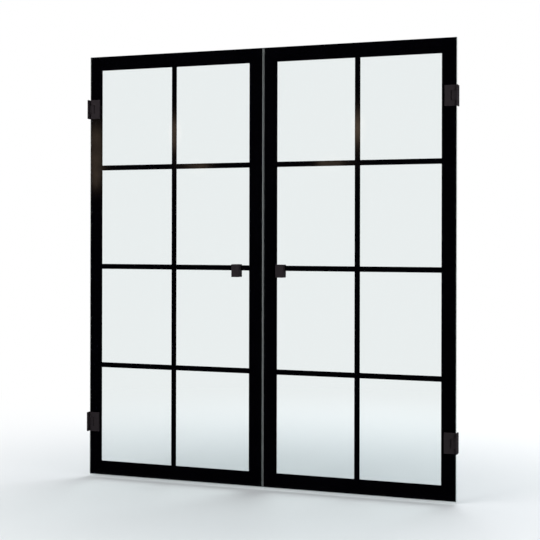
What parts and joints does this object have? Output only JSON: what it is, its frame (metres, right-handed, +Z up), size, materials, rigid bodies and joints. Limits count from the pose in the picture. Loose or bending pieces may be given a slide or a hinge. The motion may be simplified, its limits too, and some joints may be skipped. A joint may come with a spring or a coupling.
{
  "type": "shower enclosure",
  "caption": "Pair of frameless double-action glass shower doors with a black printed grid, hung between two walls on clamp hinges, with block knobs and clear seals.",
  "frame": {"origin": "on the finished floor, midway between the two walls, in the centre plane of the closed glass", "axes": "+X to the right as seen from the room, +Y into the shower, +Z up"},
  "size_m": [1.77, 0.055, 1.999],
  "materials": {
    "clear_glass": "clear polished",
    "black_enamel": "glossy fired enamel",
    "black_powder_coat": "fine matt powder coat",
    "black_screw": "black oxide",
    "bright_steel": "turned",
    "black_nylon": "satin moulded",
    "clear_seal": "clear extruded",
    "magnet_rubber": "matt",
    "gasket_rubber": "matt"
  },
  "bodies": {
    "wall_hardware": {"centring_plungers": "bright_steel", "centring_springs": "bright_steel", "centring_plugs": "bright_steel", "left_top_wall_plate": "black_powder_coat", "left_bottom_wall_plate": "black_powder_coat", "right_top_wall_plate": "black_powder_coat", "right_bottom_wall_plate": "black_powder_coat"},
    "left_leaf": {"left_top_front_clamp": "black_powder_coat", "left_top_rear_clamp": "black_powder_coat", "left_top_pin": "bright_steel", "left_bottom_front_clamp": "black_powder_coat", "left_bottom_rear_clamp": "black_powder_coat", "left_bottom_pin": "bright_steel", "left_thrust_washers": "black_nylon", "left_clamp_screws": "black_screw", "left_front_gaskets": "gasket_rubber", "left_rear_gaskets": "gasket_rubber", "left_glass": "clear_glass", "left_printed_grid": "black_enamel", "left_front_knob": "black_powder_coat", "left_rear_knob": "black_powder_coat", "left_knob_stud": "bright_steel", "left_knob_sleeve": "black_nylon", "left_knob_washers": "black_nylon", "left_meeting_seal": "clear_seal", "left_magnet_strip": "magnet_rubber", "left_wiper_seal": "clear_seal", "left_side_seals": "clear_seal"},
    "right_leaf": {"right_top_front_clamp": "black_powder_coat", "right_top_rear_clamp": "black_powder_coat", "right_top_pin": "bright_steel", "right_bottom_front_clamp": "black_powder_coat", "right_bottom_rear_clamp": "black_powder_coat", "right_bottom_pin": "bright_steel", "right_thrust_washers": "black_nylon", "right_clamp_screws": "black_screw", "right_front_gaskets": "gasket_rubber", "right_rear_gaskets": "gasket_rubber", "right_glass": "clear_glass", "right_printed_grid": "black_enamel", "right_front_knob": "black_powder_coat", "right_rear_knob": "black_powder_coat", "right_knob_stud": "bright_steel", "right_knob_sleeve": "black_nylon", "right_knob_washers": "black_nylon", "right_meeting_seal": "clear_seal", "right_magnet_strip": "magnet_rubber", "right_wiper_seal": "clear_seal", "right_side_seals": "clear_seal"}
  },
  "joints": [
    {"name": "left_leaf_swing", "type": "hinge", "parent": "wall_hardware", "child": "left_leaf", "pos_m": [-0.865, 0, 0], "axis": [0, 0, -1], "range_deg": [-90, 88]},
    {"name": "right_leaf_swing", "type": "hinge", "parent": "wall_hardware", "child": "right_leaf", "pos_m": [0.865, 0, 0], "axis": [0, 0, 1], "range_deg": [-90, 88]}
  ]
}
